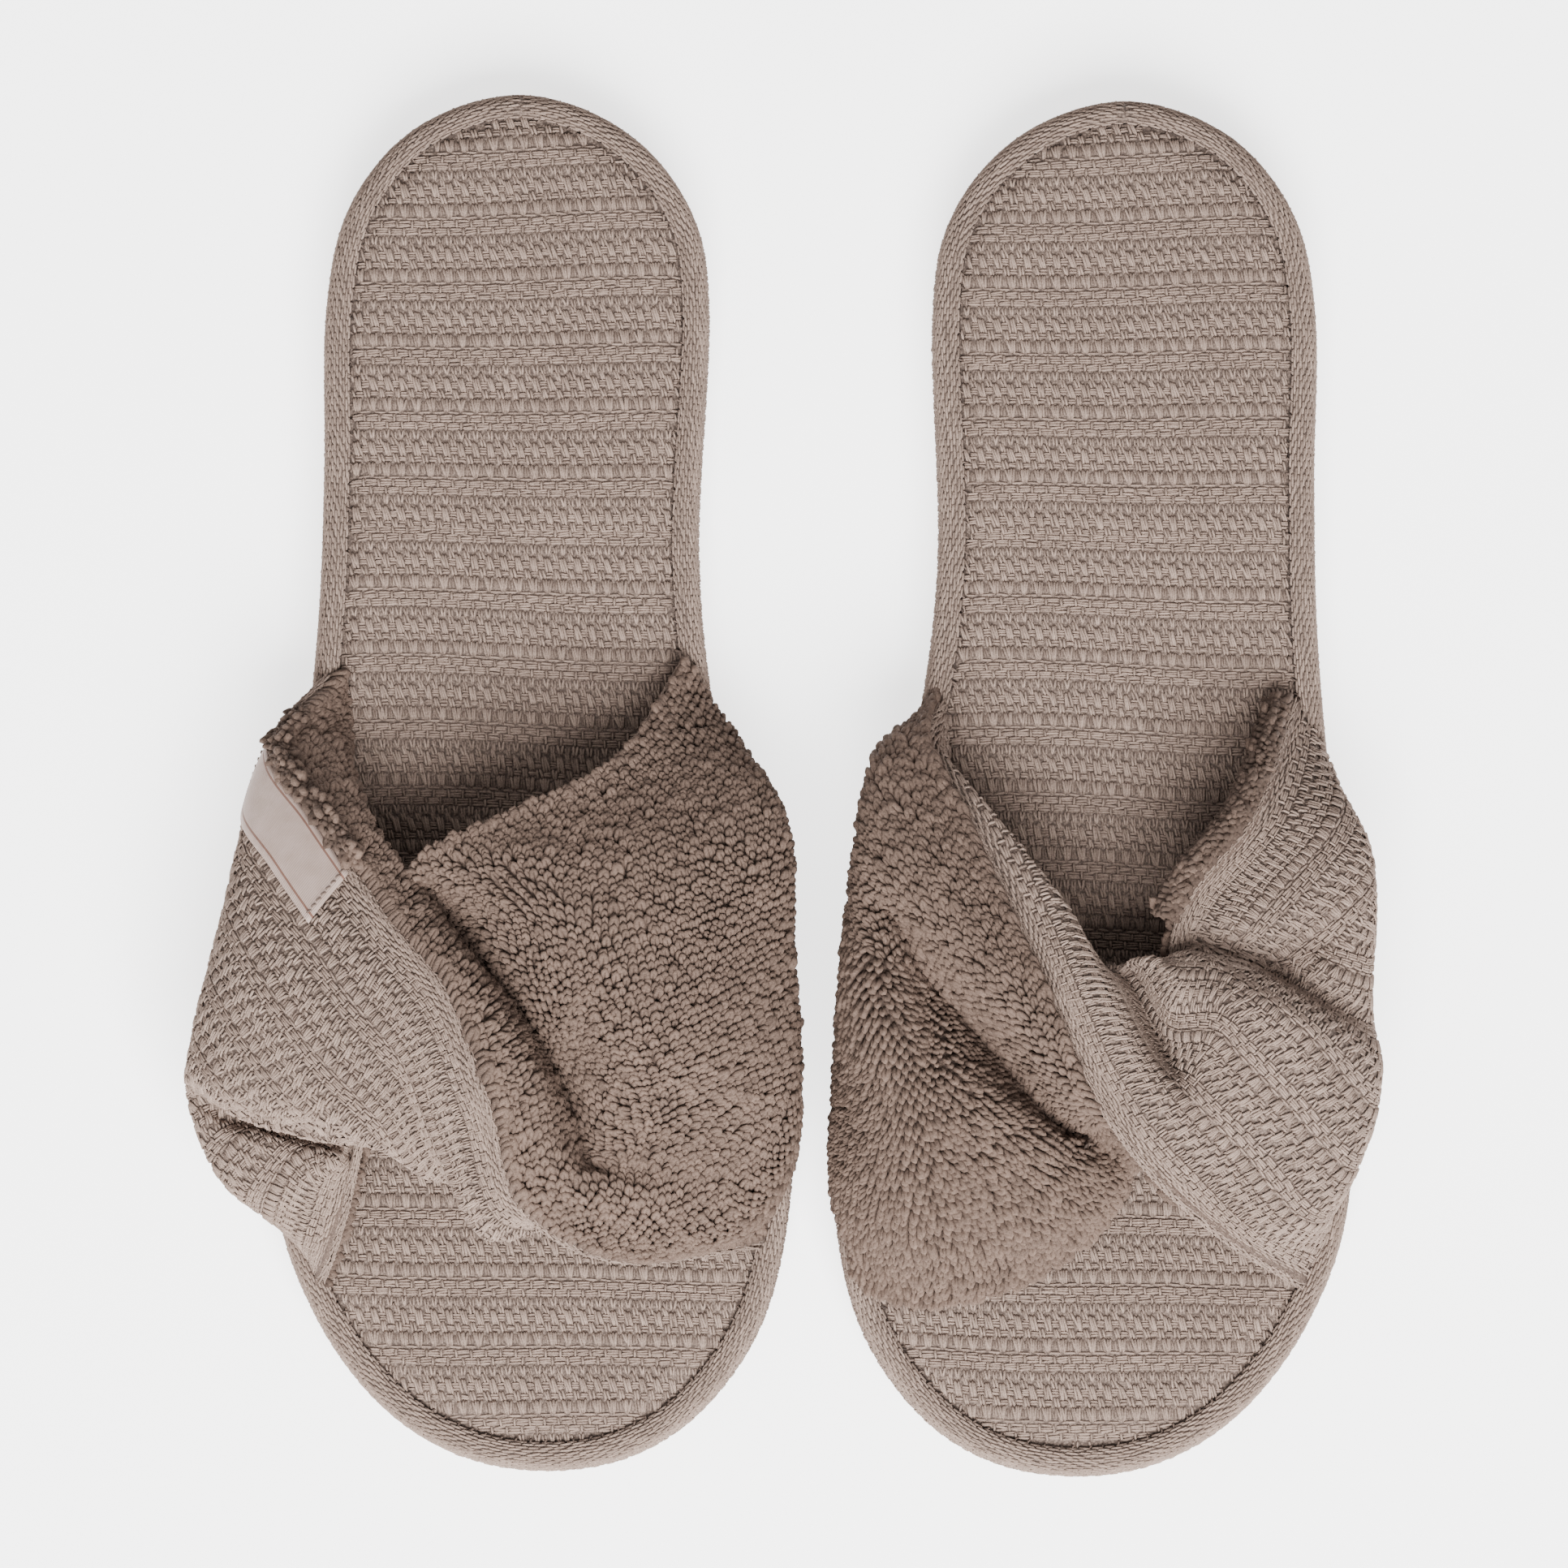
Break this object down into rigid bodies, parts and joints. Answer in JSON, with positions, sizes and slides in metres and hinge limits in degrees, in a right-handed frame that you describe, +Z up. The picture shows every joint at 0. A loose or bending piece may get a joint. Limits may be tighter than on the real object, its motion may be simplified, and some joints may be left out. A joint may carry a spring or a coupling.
{
  "type": "spa slippers",
  "caption": "Pair of open-toe spa slippers: cloth-wrapped padded platform soles, each with a wide half-twisted band of woven cloth and terry over the foot.",
  "frame": {"origin": "on the floor, under the middle of the pair's box", "axes": "+X across the pair to the wearer's left slipper, +Y from the toes to the heels, +Z up"},
  "size_m": [0.2319, 0.27, 0.0594],
  "materials": {
    "woven_cloth": "matte",
    "terry_cloth": "matte",
    "sole_foam": "matte",
    "padding_foam": "matte",
    "outsole_rubber": "matte",
    "sewing_thread": "satin",
    "label_ribbon": "satin"
  },
  "bodies": {
    "right_forefoot": {"right_outsole_front": "outsole_rubber", "right_midsole_front": "sole_foam", "right_padding_front": "padding_foam", "right_insole_cover_front": "woven_cloth", "right_wrap_front": "woven_cloth", "right_seam_thread_front": "sewing_thread", "right_band_terry": "terry_cloth", "right_band_woven": "woven_cloth", "right_band_interlining": "padding_foam", "right_label": "label_ribbon", "right_label_stitches": "sewing_thread"},
    "right_heel": {"right_outsole_heel": "outsole_rubber", "right_midsole_heel": "sole_foam", "right_padding_heel": "padding_foam", "right_insole_cover_heel": "woven_cloth", "right_wrap_heel": "woven_cloth", "right_seam_thread_heel": "sewing_thread"},
    "left_forefoot": {"left_outsole_front": "outsole_rubber", "left_midsole_front": "sole_foam", "left_padding_front": "padding_foam", "left_insole_cover_front": "woven_cloth", "left_wrap_front": "woven_cloth", "left_seam_thread_front": "sewing_thread", "left_band_terry": "terry_cloth", "left_band_woven": "woven_cloth", "left_band_interlining": "padding_foam"},
    "left_heel": {"left_outsole_heel": "outsole_rubber", "left_midsole_heel": "sole_foam", "left_padding_heel": "padding_foam", "left_insole_cover_heel": "woven_cloth", "left_wrap_heel": "woven_cloth", "left_seam_thread_heel": "sewing_thread"}
  },
  "joints": [
    {"name": "right_sole_flex", "type": "hinge", "parent": "right_forefoot", "child": "right_heel", "pos_m": [-0.05375, 0.031, 0.0174], "axis": [1, 0, 0], "range_deg": [0, 45], "stiffness_Nm_per_rad": 0.06},
    {"name": "left_slipper_slide", "type": "slide", "parent": "right_forefoot", "child": "left_forefoot", "axis": [1, 0, 0], "range_m": [0, 0.1]},
    {"name": "left_sole_flex", "type": "hinge", "parent": "left_forefoot", "child": "left_heel", "pos_m": [0.06555, 0.031, 0.0174], "axis": [1, 0, 0], "range_deg": [0, 45], "stiffness_Nm_per_rad": 0.06}
  ]
}
